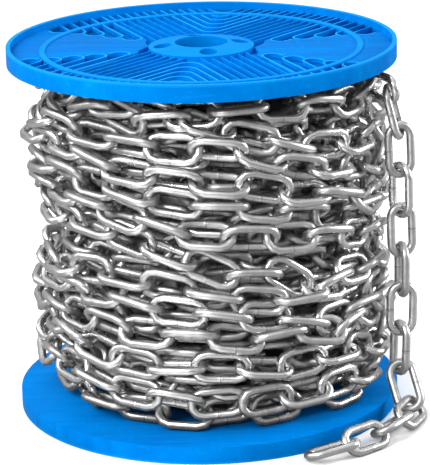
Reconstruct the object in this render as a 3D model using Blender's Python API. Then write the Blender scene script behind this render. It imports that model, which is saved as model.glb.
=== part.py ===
"""A reel of steel chain: a moulded plastic reel wound full of long link chain.

The reel stands on its lower flange, and the last links of the chain leave the
winding under the upper flange, hang down beside the reel and lie on the floor.
Units are metres, with +Z up. The origin is on the reel's axis, at floor level.
"""

import math

import bmesh
import bpy
import numpy as np
from mathutils.bvhtree import BVHTree

GAP = 0.0003

# The reel
FLANGE_RADIUS = 0.127
FLANGE_HEIGHT = 0.0112
REEL_HEIGHT = 0.2448
RIM_WALL = 0.0028
RIM_ROUND = 0.0012
PLATE_THICKNESS = 0.0068
FAN_THICKNESS = 0.0032
# The recessed fans on two sides of the hub, from one angle to another in degrees
FAN_SECTORS = ((18, 144), (198, 324))
RING_RIB_RADIUS = 0.1035
RING_RIB_WIDTH = 0.0040
RING_RIB_DROP = 0.0034
HUB_RADIUS = 0.0344
HUB_EDGE_DROP = 0.0034
HUB_MOUTH_DROP = 0.0010
BORE_RADIUS = 0.0173
POCKET_RADIUS = 0.0058
POCKET_CIRCLE = 0.0255
POCKET_COUNT = 4
POCKET_ANGLE = math.radians(10)
BARREL_RADIUS = 0.045
BARREL_WALL = 0.003
ROUND_SIDES = 60

# The chain
WIRE = 0.0050
LINK_PITCH = 0.0273
LINK_WIDTH = 0.0195
WIRE_SIDES = 8
CROWN_STEPS = 6

# The winding: how far out each turn reaches, from the lowest to the highest
TURN_RADIUS = (0.099, 0.112, 0.118, 0.119, 0.117, 0.116, 0.115, 0.117, 0.118, 0.117, 0.110, 0.098)
OUTER_LAYER_DEPTH = 0.018
LINKS_PER_TURN = 27
TURN_GROOVE = 0.0075
LINK_GROOVE = 0.0030
CREST_SHARE = 0.30
EDGE_LINK_RISE = 0.0020

# The tail's route: the joints between its links, from the winding to the free end
TAIL_ROUTE = (
    (0.099, -0.018, 0.2240), (0.114, -0.040, 0.2190), (0.1245, -0.040, 0.1925), (0.126, -0.040, 0.1645),
    (0.1265, -0.040, 0.1370), (0.1275, -0.040, 0.1100), (0.1275, -0.040, 0.0830), (0.127, -0.040, 0.0560),
    (0.1265, -0.041, 0.0290), (0.1345, -0.055, 0.0070), (0.1240, -0.080, 0.0090), (0.1080, -0.102, 0.0080),
    (0.0875, -0.119, 0.0075), (0.0640, -0.127, 0.0045),
)
SETTLE_POINTS = 80
SETTLE_ROUNDS = 300
PATH_STEPS = 24
NEIGHBOURS = 3
SEAT_SHARE = 0.25
LINK_CLEARANCE = WIRE + 0.0004
SEAT = WIRE / 2 + GAP
# How far each tail link is turned about its own length, in degrees from facing the front
TAIL_TURN = (-20, 70, -20, 47, -22, 77, -5, 52, -10, 63, -66, 35, -78)


def material(name, colour, roughness, metallic):
    """A Principled material of one colour."""
    made = bpy.data.materials.new(name)
    made.use_nodes = True
    shader = made.node_tree.nodes["Principled BSDF"]
    shader.inputs["Base Color"].default_value = (*colour, 1.0)
    shader.inputs["Roughness"].default_value = roughness
    shader.inputs["Metallic"].default_value = metallic
    return made


def solid(name, mesh, finish):
    """Put a mesh into the scene as one named piece."""
    piece = bpy.data.objects.new(name, mesh)
    bpy.context.scene.collection.objects.link(piece)
    mesh.materials.append(finish)
    mesh.shade_smooth()
    mesh.set_sharp_from_angle(angle=math.radians(35))
    return piece


def turned_mesh(name, profile, sides):
    """Turn a closed profile of (radius, height) points about the Z axis."""
    shape = bmesh.new()
    points = [shape.verts.new((radius, 0.0, height)) for radius, height in profile]
    edges = [shape.edges.new((points[i], points[(i + 1) % len(points)])) for i in range(len(points))]
    bmesh.ops.spin(shape, geom=points + edges, cent=(0, 0, 0), axis=(0, 0, 1),
                   angle=math.tau, steps=sides, use_merge=True)
    bmesh.ops.remove_doubles(shape, verts=shape.verts, dist=1e-6)
    bmesh.ops.recalc_face_normals(shape, faces=shape.faces)
    mesh = bpy.data.meshes.new(name)
    shape.to_mesh(mesh)
    shape.free()
    return mesh


def flange_profile(floor):
    """The flange's section with its face at a floor thickness; height 0 is its inner face."""
    radius, top, plate = FLANGE_RADIUS, FLANGE_HEIGHT, PLATE_THICKNESS
    rim_inside = radius - RIM_WALL
    rib_out = RING_RIB_RADIUS + RING_RIB_WIDTH / 2
    rib_in = RING_RIB_RADIUS - RING_RIB_WIDTH / 2
    rib_top = top - RING_RIB_DROP
    corner = RIM_ROUND * (1 - math.sqrt(0.5))
    return [
        (BORE_RADIUS, 0.0), (radius - RIM_ROUND, 0.0), (radius - corner, corner), (radius, RIM_ROUND),
        (radius, top - RIM_ROUND), (radius - corner, top - corner), (radius - RIM_ROUND, top),
        (rim_inside, top), (rim_inside, plate), (rim_inside, floor),
        (rib_out, floor), (rib_out, plate), (rib_out, rib_top),
        (rib_in, rib_top), (rib_in, plate), (rib_in, floor),
        (HUB_RADIUS, floor), (HUB_RADIUS, plate), (HUB_RADIUS, top - HUB_EDGE_DROP),
        (BORE_RADIUS, top - HUB_MOUTH_DROP),
    ]


def floors_at(degrees):
    """The thicknesses of the flange's face at an angle: two where the edge of a fan is."""
    for start, end in FAN_SECTORS:
        if degrees == start:
            return [PLATE_THICKNESS, FAN_THICKNESS]
        if degrees == end:
            return [FAN_THICKNESS, PLATE_THICKNESS]
        if start < degrees < end:
            return [FAN_THICKNESS]
    return [PLATE_THICKNESS]


def flange_mesh(name, inner_face, facing):
    """The flange's section carried round the axis, stepping down into each fan and up again."""
    shape = bmesh.new()
    sections = []
    for side in range(ROUND_SIDES):
        degrees = round(360 * side / ROUND_SIDES)
        angle = math.radians(degrees)
        for floor in floors_at(degrees):
            sections.append([shape.verts.new((radius * math.cos(angle), radius * math.sin(angle),
                                              inner_face + facing * height))
                             for radius, height in flange_profile(floor)])
    for index, section in enumerate(sections):
        beside = sections[(index + 1) % len(sections)]
        for point in range(len(section)):
            above = (point + 1) % len(section)
            shape.faces.new((section[point], beside[point], beside[above], section[above]))
    bmesh.ops.remove_doubles(shape, verts=shape.verts, dist=1e-6)
    bmesh.ops.recalc_face_normals(shape, faces=shape.faces)
    mesh = bpy.data.meshes.new(name)
    shape.to_mesh(mesh)
    shape.free()
    return mesh


def pocket_cutter(name, finish):
    """The drill that makes the hub's four drive holes, as one guide object."""
    shape = bmesh.new()
    for index in range(POCKET_COUNT):
        angle = POCKET_ANGLE + index * math.tau / POCKET_COUNT
        made = bmesh.ops.create_cone(shape, cap_ends=True, segments=16, radius1=POCKET_RADIUS,
                                     radius2=POCKET_RADIUS, depth=4 * FLANGE_HEIGHT)
        place = (POCKET_CIRCLE * math.cos(angle), POCKET_CIRCLE * math.sin(angle), 0.0)
        bmesh.ops.translate(shape, verts=made["verts"], vec=place)
    mesh = bpy.data.meshes.new(name)
    shape.to_mesh(mesh)
    shape.free()
    cutter = solid(name, mesh, finish)
    cutter.hide_render = True
    cutter.display_type = "WIRE"
    return cutter


def flange(name, inner_face, facing, finish):
    """One flange, with its inner face at a height and its recessed side facing up (1) or down (-1)."""
    piece = solid(name, flange_mesh(name, inner_face, facing), finish)
    cutter = pocket_cutter(name + "_drill", finish)
    cutter.location.z = inner_face
    cut = piece.modifiers.new("drive_holes", "BOOLEAN")
    cut.operation = "DIFFERENCE"
    cut.solver = "EXACT"
    cut.object = cutter
    return piece


def tube(name, inside, outside, low, high, sides, finish):
    """A plain round tube or ring."""
    profile = [(inside, low), (outside, low), (outside, high), (inside, high)]
    return solid(name, turned_mesh(name, profile, sides), finish)


def outer_layer(inside, low, high, finish):
    """The outermost layer of chain as one ring, with the gaps between turns and links cut into it."""
    turns = len(TURN_RADIUS)
    rise = (high - low) / turns
    stations = 2 * LINKS_PER_TURN
    rows = [(low, TURN_RADIUS[0] - TURN_GROOVE, None)]
    for turn, radius in enumerate(TURN_RADIUS):
        middle = low + (turn + 0.5) * rise
        rows.append((middle - CREST_SHARE * rise, radius, turn))
        rows.append((middle + CREST_SHARE * rise, radius, turn))
        above = TURN_RADIUS[min(turn + 1, turns - 1)]
        rows.append((low + (turn + 1) * rise, min(radius, above) - TURN_GROOVE, None))
    shape = bmesh.new()
    grid = []
    for height, radius, turn in rows:
        ring = []
        for station in range(stations):
            reach = radius
            if turn is not None:
                at_joint = (station + turn) % 2 == 0
                edge_on = ((station + turn) // 2) % 2 == 0
                reach += -LINK_GROOVE if at_joint else (EDGE_LINK_RISE if edge_on else 0.0)
            angle = math.tau * station / stations
            ring.append(shape.verts.new((reach * math.cos(angle), reach * math.sin(angle), height)))
        grid.append(ring)
    for height in (high, low):
        angles = [math.tau * station / stations for station in range(stations)]
        grid.append([shape.verts.new((inside * math.cos(angle), inside * math.sin(angle), height))
                     for angle in angles])
    for row, ring in enumerate(grid):
        above = grid[(row + 1) % len(grid)]
        for station in range(stations):
            beside = (station + 1) % stations
            shape.faces.new((ring[station], ring[beside], above[beside], above[station]))
    bmesh.ops.recalc_face_normals(shape, faces=shape.faces)
    mesh = bpy.data.meshes.new("chain_outer_layer")
    shape.to_mesh(mesh)
    shape.free()
    return solid("chain_outer_layer", mesh, finish)


def link_path(steps):
    """The middle line of a link's wire in its own plane: length along X, width along Y."""
    bend = (LINK_WIDTH - WIRE) / 2
    reach = (LINK_PITCH + WIRE) / 2 - bend
    points = []
    for side in (1, -1):
        for step in range(steps + 1):
            angle = side * math.pi / 2 - math.pi * step / steps
            points.append((side * reach + bend * math.cos(angle), bend * math.sin(angle), 0.0))
    return np.array(points)


def dense_path(count):
    """Evenly spaced points along a link's middle line."""
    corners = link_path(PATH_STEPS)
    closed = np.vstack([corners, corners[:1]])
    along = np.concatenate([[0.0], np.cumsum(np.linalg.norm(np.diff(closed, axis=0), axis=1))])
    wanted = np.linspace(0.0, along[-1], count, endpoint=False)
    return np.stack([np.interp(wanted, along, closed[:, axis]) for axis in range(3)], axis=1)


def first_pose(start, end, turn):
    """Where a link lies between two joints of the route, turned about its own length."""
    start, end = np.array(start), np.array(end)
    length = (end - start) / np.linalg.norm(end - start)
    side = np.cross(length, (0.0, 1.0, 0.0))
    side /= np.linalg.norm(side)
    back = np.cross(length, side)
    angle = math.radians(turn)
    width = math.cos(angle) * side + math.sin(angle) * back
    return np.column_stack([length, width, np.cross(length, width)]), (start + end) / 2


def fitted_turn(points, template):
    """The rotation that lays the template over the points."""
    u, _, vt = np.linalg.svd((points - points.mean(axis=0)).T @ template)
    return u @ np.diag([1.0, 1.0, np.sign(np.linalg.det(u @ vt))]) @ vt


def keep_out(points, winding):
    """Move points of the wire's middle line clear of the floor, the reel and the winding."""
    points[:, 2] = np.clip(points[:, 2], SEAT, REEL_HEIGHT - FLANGE_HEIGHT - SEAT)
    radius = np.linalg.norm(points[:, :2], axis=1)
    beside_rim = points[:, 2] < FLANGE_HEIGHT + SEAT
    wanted = np.where(beside_rim, FLANGE_RADIUS + SEAT, 0.0)
    points[:, :2] *= np.maximum(1.0, wanted / radius)[:, None]
    for index, point in enumerate(points):
        surface, normal, _, _ = winding.find_nearest(point)
        depth = SEAT - (point - np.array(surface)) @ np.array(normal)
        if depth > 0:
            points[index] += depth * np.array(normal)
    return points


def seat_first(points, winding):
    """Lay the first link's nearest point against the winding that it comes from."""
    nearest = min(range(len(points)), key=lambda index: winding.find_nearest(points[index])[3])
    surface, _, _, distance = winding.find_nearest(points[nearest])
    return points + (np.array(surface) - points[nearest]) * (1 - SEAT / distance) * SEAT_SHARE


def settled_tail(winding):
    """Ease the links along the route until each hangs in the next and none cuts another."""
    template = dense_path(SETTLE_POINTS)
    links = []
    for start, end, turned in zip(TAIL_ROUTE, TAIL_ROUTE[1:], TAIL_TURN):
        turn, place = first_pose(start, end, turned)
        links.append(template @ turn.T + place)
    count = len(links)
    for _ in range(SETTLE_ROUNDS):
        moved = [link.copy() for link in links]
        for i in range(count):
            for j in range(i + 1, min(i + 1 + NEIGHBOURS, count)):
                apart = links[i][:, None, :] - links[j][None, :, :]
                distance = np.linalg.norm(apart, axis=2)
                a, b = np.unravel_index(distance.argmin(), distance.shape)
                if j == i + 1 or distance[a, b] < LINK_CLEARANCE:
                    push = apart[a, b] * (LINK_CLEARANCE / distance[a, b] - 1) / 2
                    near_a = np.linalg.norm(links[i] - links[i][a], axis=1) < WIRE
                    near_b = np.linalg.norm(links[j] - links[j][b], axis=1) < WIRE
                    moved[i] += push * (0.5 + near_a[:, None])
                    moved[j] -= push * (0.5 + near_b[:, None])
        moved[0] = seat_first(moved[0], winding)
        for i in range(count):
            goal = keep_out(moved[i], winding)
            links[i] = template @ fitted_turn(goal, template).T + goal.mean(axis=0)
    return links


def link_mesh(name, points):
    """A welded link of round wire, through its settled middle line."""
    turn = fitted_turn(points, dense_path(len(points)))
    middle = points.mean(axis=0)
    path = link_path(CROWN_STEPS)
    shape = bmesh.new()
    rings = []
    for index, point in enumerate(path):
        ahead = path[(index + 1) % len(path)] - path[index - 1]
        ahead /= np.linalg.norm(ahead)
        out = np.array([ahead[1], -ahead[0], 0.0])
        ring = []
        for side in range(WIRE_SIDES):
            angle = math.tau * (side + 0.5) / WIRE_SIDES
            local = point + WIRE / 2 * (math.cos(angle) * out + math.sin(angle) * np.array([0.0, 0.0, 1.0]))
            ring.append(shape.verts.new(turn @ local + middle))
        rings.append(ring)
    for index, ring in enumerate(rings):
        following = rings[(index + 1) % len(rings)]
        for side in range(WIRE_SIDES):
            beside = (side + 1) % WIRE_SIDES
            shape.faces.new((ring[side], ring[beside], following[beside], following[side]))
    bmesh.ops.recalc_face_normals(shape, faces=shape.faces)
    mesh = bpy.data.meshes.new(name)
    shape.to_mesh(mesh)
    shape.free()
    return mesh


def main():
    for old in list(bpy.data.objects):
        bpy.data.objects.remove(old, do_unlink=True)
    plastic = material("blue_plastic", (0.0, 0.245, 0.83), 0.38, 0.0)
    steel = material("bright_steel", (0.62, 0.62, 0.62), 0.28, 1.0)
    upper_face = REEL_HEIGHT - FLANGE_HEIGHT
    flange("bottom_flange", FLANGE_HEIGHT, -1, plastic)
    flange("top_flange", upper_face, 1, plastic)
    low, high = FLANGE_HEIGHT + GAP, upper_face - GAP
    tube("barrel", BARREL_RADIUS - BARREL_WALL, BARREL_RADIUS, low, high, ROUND_SIDES, plastic)
    inside = min(TURN_RADIUS) - OUTER_LAYER_DEPTH
    layer = outer_layer(inside, low, high, steel)
    tube("chain_inner_layers", BARREL_RADIUS + GAP, inside - GAP, low, high, 2 * LINKS_PER_TURN, steel)
    corners = [vertex.co for vertex in layer.data.vertices]
    winding = BVHTree.FromPolygons(corners, [face.vertices for face in layer.data.polygons])
    for index, points in enumerate(settled_tail(winding)):
        name = "tail_link_%02d" % (index + 1)
        solid(name, link_mesh(name, points), steel)


main()
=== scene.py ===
"""Looks of a reel of steel chain: a moulded blue reel, the chain wound on it and its hanging tail.

Everything is in metres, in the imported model's frame: +Z up, the reel's axis on the Z axis and the
floor at height 0. The wound chain is laid turn by turn and then settled, link against link.
"""

import math

import bpy
import numpy as np
from mathutils import Matrix, Vector


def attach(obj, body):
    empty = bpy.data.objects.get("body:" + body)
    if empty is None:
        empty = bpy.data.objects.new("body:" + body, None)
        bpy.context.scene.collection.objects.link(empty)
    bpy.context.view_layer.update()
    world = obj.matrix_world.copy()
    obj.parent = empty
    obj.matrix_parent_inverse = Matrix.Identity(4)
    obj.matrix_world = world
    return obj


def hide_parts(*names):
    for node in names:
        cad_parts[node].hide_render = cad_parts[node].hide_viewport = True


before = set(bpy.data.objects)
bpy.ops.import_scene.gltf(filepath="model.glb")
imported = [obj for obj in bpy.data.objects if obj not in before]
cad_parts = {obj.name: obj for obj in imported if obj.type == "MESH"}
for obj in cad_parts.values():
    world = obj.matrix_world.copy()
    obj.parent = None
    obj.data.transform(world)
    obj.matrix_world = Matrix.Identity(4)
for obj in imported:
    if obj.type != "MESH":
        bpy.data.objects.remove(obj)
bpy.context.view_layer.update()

bl_info = {
    "name": "Reel of Steel Chain",
    "version": (1, 0, 0),
    "blender": (4, 5, 0),
    "location": "View3D > Sidebar > Chain Reel",
    "description": "Builds a moulded reel wound full of steel chain, with its hanging tail",
    "category": "Object",
}

BODY = "root"
TAIL_NODES = sorted(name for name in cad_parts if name.startswith("tail_link"))

# The reel's sizes that nobody would change without changing the CAD
REEL_HEIGHT = 0.2448
FLANGE_HEIGHT = 0.0112
RIM_WALL = 0.0028
WEB_THICKNESS = 0.0032
PLATE_THICKNESS = 0.0068
RING_RIB_RADIUS = 0.1035
RING_RIB_WIDTH = 0.0040
RING_RIB_DROP = 0.0034
HUB_RADIUS = 0.0344
HUB_EDGE_DROP = 0.0034
HUB_MOUTH_DROP = 0.0010
BORE_RADIUS = 0.0173
DRIVE_HOLE_RADIUS = 0.0058
DRIVE_HOLE_CIRCLE = 0.0255
DRIVE_HOLE_COUNT = 4
DRIVE_HOLE_ANGLE = math.radians(10)
FLANGE_SIDES = 160
WEB_FACE = REEL_HEIGHT - FLANGE_HEIGHT + WEB_THICKNESS
PLATE_FACE = REEL_HEIGHT - FLANGE_HEIGHT + PLATE_THICKNESS
OVERLAP = 0.0005
RIM_OVERLAP = 0.0003

# The recessed fans on each side of the hub and the thin ribs that stand in them
FAN_AXES = (math.radians(261), math.radians(82))
FAN_HALF_ANGLE = math.radians(30)
RIB_SPACING = 0.0064
RIB_WIDTH = 0.0012
ARCH_STEPS = (-3, -4, -5, -6, -7, -8)
ARCH_RADIUS = 0.0075
HUB_RIB_STEPS = (-2, -1, 0, 1, 2, 3)
HOOK_SPACING = 0.0088
HOOK_BEND = 0.0062
HOOK_STARTS = (0.0390, 0.0520, 0.0640, 0.0760, 0.0850)
HOOK_SWEEP = math.radians(175)
HOOK_TAIL = 0.0045
FIRST_HOOK = 0.0245
RIB_REACH = 0.1238
RIB_PROUD = 0.0001
RIB_ROOT = 0.0003
CUT_LENGTH = 0.2
CUT_DEPTH = 0.02
CUT_RAISE = 0.009
FAN_CUT_START = 0.085
FAN_CUT_WIDTH = 0.085
SIDE_CUT_START = -0.02
SIDE_CUT_WIDTH = FIRST_HOOK + 0.030
HOOK_CUT_WIDTH = 2 * HOOK_BEND + 0.0002

# How much each part of the upper flange is painted lighter (towards 1: partly worn, partly painted highlight)
# or darker (towards -1: painted shade in the recesses, and a slight darkening of the plate's face)
HUB_WEAR_AND_HIGHLIGHT = 0.82
RIM_EDGE_WEAR_AND_HIGHLIGHT = 0.90
RING_WEAR_AND_HIGHLIGHT = 0.84
RIB_WEAR_AND_HIGHLIGHT = 1.0
PLATE_DARKENING = -0.28
FAN_FLOOR_SHADE = -1.0
WEAR_MARGIN = 0.0004
FACE_MARGIN = 0.00002
ROUNDED_DEPTH = 0.0006

# The winding: how far out the chain reaches, from the lower flange to the upper one, and its layers
WINDING_PROFILE = (0.1020, 0.1160, 0.1180, 0.1190, 0.1180, 0.1165, 0.1165, 0.1170, 0.1180, 0.1180, 0.1150,
                   0.1110)
WINDING_LEAN = 0.0045
WINDING_LOW = FLANGE_HEIGHT + 0.0006
WINDING_HIGH = REEL_HEIGHT - FLANGE_HEIGHT - 0.0006
LAYER_DEPTHS = (0.0, 0.0135, 0.0265)
LAYER_FLOORS = (0.088, 0.075, 0.066)
CORE_RADIUS = 0.063
CORE_WALL = 0.006
CORE_SIDES = 64
# The route of a turn: its step as an angle, how far inside the profile and the flanges it runs, its stray in
# and out, and the share of the pitch from joint to joint
ROUTE_STEP = 0.01
ROUTE_INSET = 0.0075
ROUTE_MARGIN = 0.006
RADIUS_STRAY = 0.002
RADIUS_STRAY_STEPS = 60
JOINT_SHARE = 0.985
# How a turn strays up and down: its long and short waves in a hidden layer and its wave in the outermost one,
# as angles, and the share of the stray left at each angle from the middle of the back
LONG_WAVE = 1.9
SHORT_WAVE = 0.55
OUTER_WAVE = 0.7
STRAY_SHARE = ((0.0, 1.9, 2.2, 4.1, 4.4, math.tau), (1.0, 1.0, 0.0, 0.0, 1.0, 1.0))
# How a link's roll strays where it isn't traced, in waves of links and link by link, and where it is
ROLL_WANDER = 0.55
ROLL_WANDER_LINKS = 3.0
ROLL_STRAY = 0.12
TRACED_ROLL_STRAY = 0.15
# Where the outermost layer starts and ends: angle and height
WINDING_START = (math.radians(75), 0.0200)
WINDING_END = (math.radians(-10.3), 0.2240)
# Where the winding stands proud: angle, height, how far, and how wide the place is in angle and in height
PROUD_PLACES = (
    (math.radians(-176), 0.050, 0.010, 0.22, 0.009),
    (math.radians(-22), 0.026, 0.008, 0.50, 0.014),
    (math.radians(-176), 0.180, 0.006, 0.30, 0.022),
)
LINK_ROLLS = {"F": 0.0, "T": math.pi / 4, "E": math.pi / 2}
TAIL_TONE_STEP = 0.37

# The settling: how far apart the wires' middle lines end up, the points that stand for a link, how far and
# how often to look for neighbours, the greatest push, the pull inwards and how long it lasts, and how firmly
# a link's free points and its old turn hold it
CHAIN_CLEARANCE = 0.0058
POINTS_PER_LINK = 28
SEARCH_REACH = 1.5
SEARCH_EVERY = 6
GREATEST_PUSH = 0.0008
INWARD_PULL = 0.00002
PULL_LASTS = 0.85
REST_WEIGHT = 0.04
TURN_WEIGHT = 2e-5

# How the chain crosses the front, from the lowest turn to the highest: how each link lies from left to right
# (F face on, T tilted, E edge on), and the joints at their ends as an angle in degrees and a height in mm
FRONT_COURSES = (
    ("FEFTFFT", ((-161, 29), (-148, 22), (-132, 20), (-113, 20), (-97, 19), (-81, 19), (-60, 19), (-40, 20))),
    ("TEFTFFTFE", ((-169, 42), (-146, 48), (-129, 39), (-112, 40), (-97, 33), (-80, 33), (-62, 33),
                   (-42, 33), (-24, 36), (-6, 33))),
    ("TFEFEFEF", ((-142, 70), (-128, 61), (-113, 56), (-98, 59), (-83, 57), (-69, 54), (-53, 54),
                  (-34, 54), (-17, 46))),
    ("TTEFFT", ((-135, 83), (-119, 81), (-106, 79), (-93, 79), (-78, 78), (-62, 74), (-46, 76))),
    ("EFEFTF", ((-124, 100), (-109, 96), (-95, 95), (-81, 92), (-65, 89), (-49, 85), (-34, 80))),
    ("EFEFEF", ((-158, 108), (-140, 111), (-125, 114), (-109, 113), (-96, 107), (-82, 104), (-66, 99))),
    ("FEFEFTFF", ((-130, 145), (-114, 140), (-102, 131), (-89, 119), (-74, 110), (-59, 104), (-44, 97),
                  (-25, 91), (-6, 82))),
    ("EFETFFTF", ((-153, 164), (-135, 161), (-118, 154), (-102, 147), (-86, 143), (-71, 143), (-56, 140),
                  (-38, 134), (-15, 126))),
    ("EFETTF", ((-122, 176), (-108, 168), (-94, 164), (-81, 163), (-67, 161), (-52, 156), (-36, 148))),
    ("TETTTFTEF", ((-161, 193), (-142, 192), (-126, 186), (-110, 183), (-95, 180), (-81, 175), (-66, 169),
                   (-50, 162), (-34, 155), (-15, 146))),
    ("EFETTEF", ((-135, 206), (-120, 199), (-105, 198), (-90, 200), (-74, 195), (-58, 185), (-38, 176),
                 (-12, 166))),
    ("FETFEFTT", ((-132, 218), (-116, 216), (-100, 214), (-84, 210), (-69, 202), (-55, 194), (-40, 190),
                  (-24, 189), (-7, 186))),
    ("TFTFT", ((-120, 226), (-103, 225), (-86, 225), (-70, 223), (-53, 220), (-36, 214))),
)

# The stage: each soft light's name, width, power setting and place, and the floor
LIGHTS = (
    ("key_light", 0.7, "key_power", (-0.80, -1.32, 1.20)),
    ("fill_light", 0.8, "fill_power", (1.2, -1.1, 0.9)),
    ("edge_light", 0.6, "edge_power", (1.5, 0.3, 0.5)),
    ("side_light", 0.9, "side_power", (-1.5, 0.0, 0.8)),
    ("top_light", 1.2, "top_power", (0.1, 0.5, 1.9)),
)
FLOOR_SIZE = 12.0
FLOOR_DROP = 0.0002


def setting(name, description, default, kind=bpy.props.FloatProperty, **options):
    """A value that a user can change."""
    return kind(name=name, description=description, default=default, **options)


def colour_setting(name, description, colour):
    """A colour that a user can change."""
    return setting(name, description, (*colour, 1.0), bpy.props.FloatVectorProperty, subtype="COLOR", size=4)


class ReelSettings(bpy.types.PropertyGroup):
    """Sizes and colours of the moulded reel."""

    flange_radius: setting("Flange radius", "Radius of the two flanges", 0.127, unit="LENGTH")
    rim_rounding: setting("Rim rounding", "Width of the rounding on moulded edges", 0.0006, unit="LENGTH")
    colour: colour_setting("Plastic colour", "Colour of the moulded plastic", (0.0, 0.170, 0.570))
    roughness: setting("Plastic roughness", "How matt the moulded plastic is", 0.40, min=0.0, max=1.0,
                       subtype="FACTOR")


class ChainSettings(bpy.types.PropertyGroup):
    """Sizes of the chain and how loosely it is wound."""

    wire: setting("Wire", "Thickness of the link's round wire", 0.0056, unit="LENGTH")
    pitch: setting("Pitch", "Inside length of a link", 0.0288, unit="LENGTH")
    width: setting("Width", "Outside width of a link", 0.0218, unit="LENGTH")
    tail_share: setting("Tail share", "Size of the hanging links beside those of the winding", 0.948,
                        min=0.5, max=1.0, subtype="FACTOR")
    turns: setting("Turns", "Turns of chain in each hidden layer", 11, bpy.props.IntProperty, min=4, max=20)
    wander: setting("Wander", "How far a turn strays up and down", 0.0045, unit="LENGTH")
    rounds: setting("Settling rounds", "Rounds of settling link against link", 250, bpy.props.IntProperty,
                    min=10, max=600)
    seed: setting("Seed", "Number that the winding's irregularity starts from", 7, bpy.props.IntProperty)
    colour: colour_setting("Steel colour", "Colour of the bright steel", (0.63, 0.63, 0.63))
    roughness: setting("Steel roughness", "How dull the steel is", 0.31, min=0.0, max=1.0, subtype="FACTOR")


class StageSettings(bpy.types.PropertyGroup):
    """Floor, light and camera."""

    floor_colour: colour_setting("Floor colour", "Colour of the plain pale floor", (0.90, 0.90, 0.90))
    floor_shade: colour_setting("Floor shade", "Colour of the floor as the shiny chain reflects it",
                                (0.27, 0.27, 0.27))
    key_power: setting("Key light", "Power of the soft light at the upper left", 31.5, unit="POWER")
    fill_power: setting("Fill light", "Power of the soft light at the right", 0.8, unit="POWER")
    edge_power: setting("Edge light", "Power of the soft light beside the reel on the right", 20.0,
                        unit="POWER")
    side_power: setting("Side light", "Power of the soft light beside the reel on the left", 10.0,
                        unit="POWER")
    top_power: setting("Top light", "Power of the soft light overhead", 9.0, unit="POWER")
    sky: setting("Room light", "Strength of the even light all round", 1.15)
    focal_length: setting("Focal length", "Camera lens in millimetres", 185.4)
    distance: setting("Distance", "How far the camera stands from the reel", 1.5266, unit="LENGTH")
    height: setting("Height", "Height of the camera", 0.5760, unit="LENGTH")
    pitch: setting("Pitch", "How far the camera looks down", math.radians(16.844), subtype="ANGLE")
    yaw: setting("Yaw", "How far the camera looks to the right", math.radians(0.228), subtype="ANGLE")
    roll: setting("Roll", "How far the camera leans", math.radians(-1.338), subtype="ANGLE")


# Modelling steps


def deselect():
    """Leave nothing selected, so that the next operator acts on its own piece only."""
    bpy.ops.object.select_all(action="DESELECT")


def activate(piece):
    """Select one piece alone and make it the active one."""
    deselect()
    piece.select_set(True)
    bpy.context.view_layer.objects.active = piece


def apply_modifiers(piece):
    """Apply every modifier of a piece, in order."""
    activate(piece)
    for modifier in list(piece.modifiers):
        bpy.ops.object.modifier_apply(modifier=modifier.name)


def edit_all():
    """Enter edit mode with everything selected."""
    bpy.ops.object.mode_set(mode="EDIT")
    bpy.ops.mesh.select_all(action="SELECT")


def clean_mesh(piece, merge=True):
    """Turn every face outwards, with doubles merged first."""
    activate(piece)
    edit_all()
    if merge:
        bpy.ops.mesh.remove_doubles(threshold=1e-6)
    bpy.ops.mesh.normals_make_consistent(inside=False)
    bpy.ops.object.mode_set(mode="OBJECT")


def join(pieces, name):
    """Join pieces into the first of them."""
    activate(pieces[0])
    for piece in pieces[1:]:
        piece.select_set(True)
    bpy.ops.object.join()
    pieces[0].name = pieces[0].data.name = name
    return pieces[0]


def settle_in_place(piece):
    """Put the piece's place into its mesh, with its object at the origin."""
    activate(piece)
    bpy.ops.object.transform_apply(location=True, rotation=True, scale=True)


def cover(piece, finish):
    """Give a piece its one material."""
    piece.data.materials.clear()
    piece.data.materials.append(finish)


def dress(piece, finish):
    """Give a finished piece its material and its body."""
    cover(piece, finish)
    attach(piece, BODY)


def turned_piece(name, profile, sides):
    """Model a turned piece: a circle drawn at the first point and extruded round the closed profile."""
    deselect()
    first_radius, first_height = profile[0]
    bpy.ops.mesh.primitive_circle_add(vertices=sides, radius=first_radius, location=(0, 0, first_height))
    piece = bpy.context.active_object
    piece.name = name
    edit_all()
    steps = list(zip(profile, profile[1:] + profile[:1]))
    for (radius, height), (next_radius, next_height) in steps:
        bpy.ops.mesh.extrude_region_move(TRANSFORM_OT_translate={"value": (0, 0, next_height - height)})
        growth = next_radius / radius
        bpy.ops.transform.resize(value=(growth, growth, 1), center_override=(0, 0, next_height))
    bpy.ops.object.mode_set(mode="OBJECT")
    clean_mesh(piece)
    return piece


def turned_band(name, inner, outer, low, high, sides=FLANGE_SIDES):
    """Model a plain ring of rectangular section."""
    return turned_piece(name, [(inner, low), (outer, low), (outer, high), (inner, high)], sides)


# Materials


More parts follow.
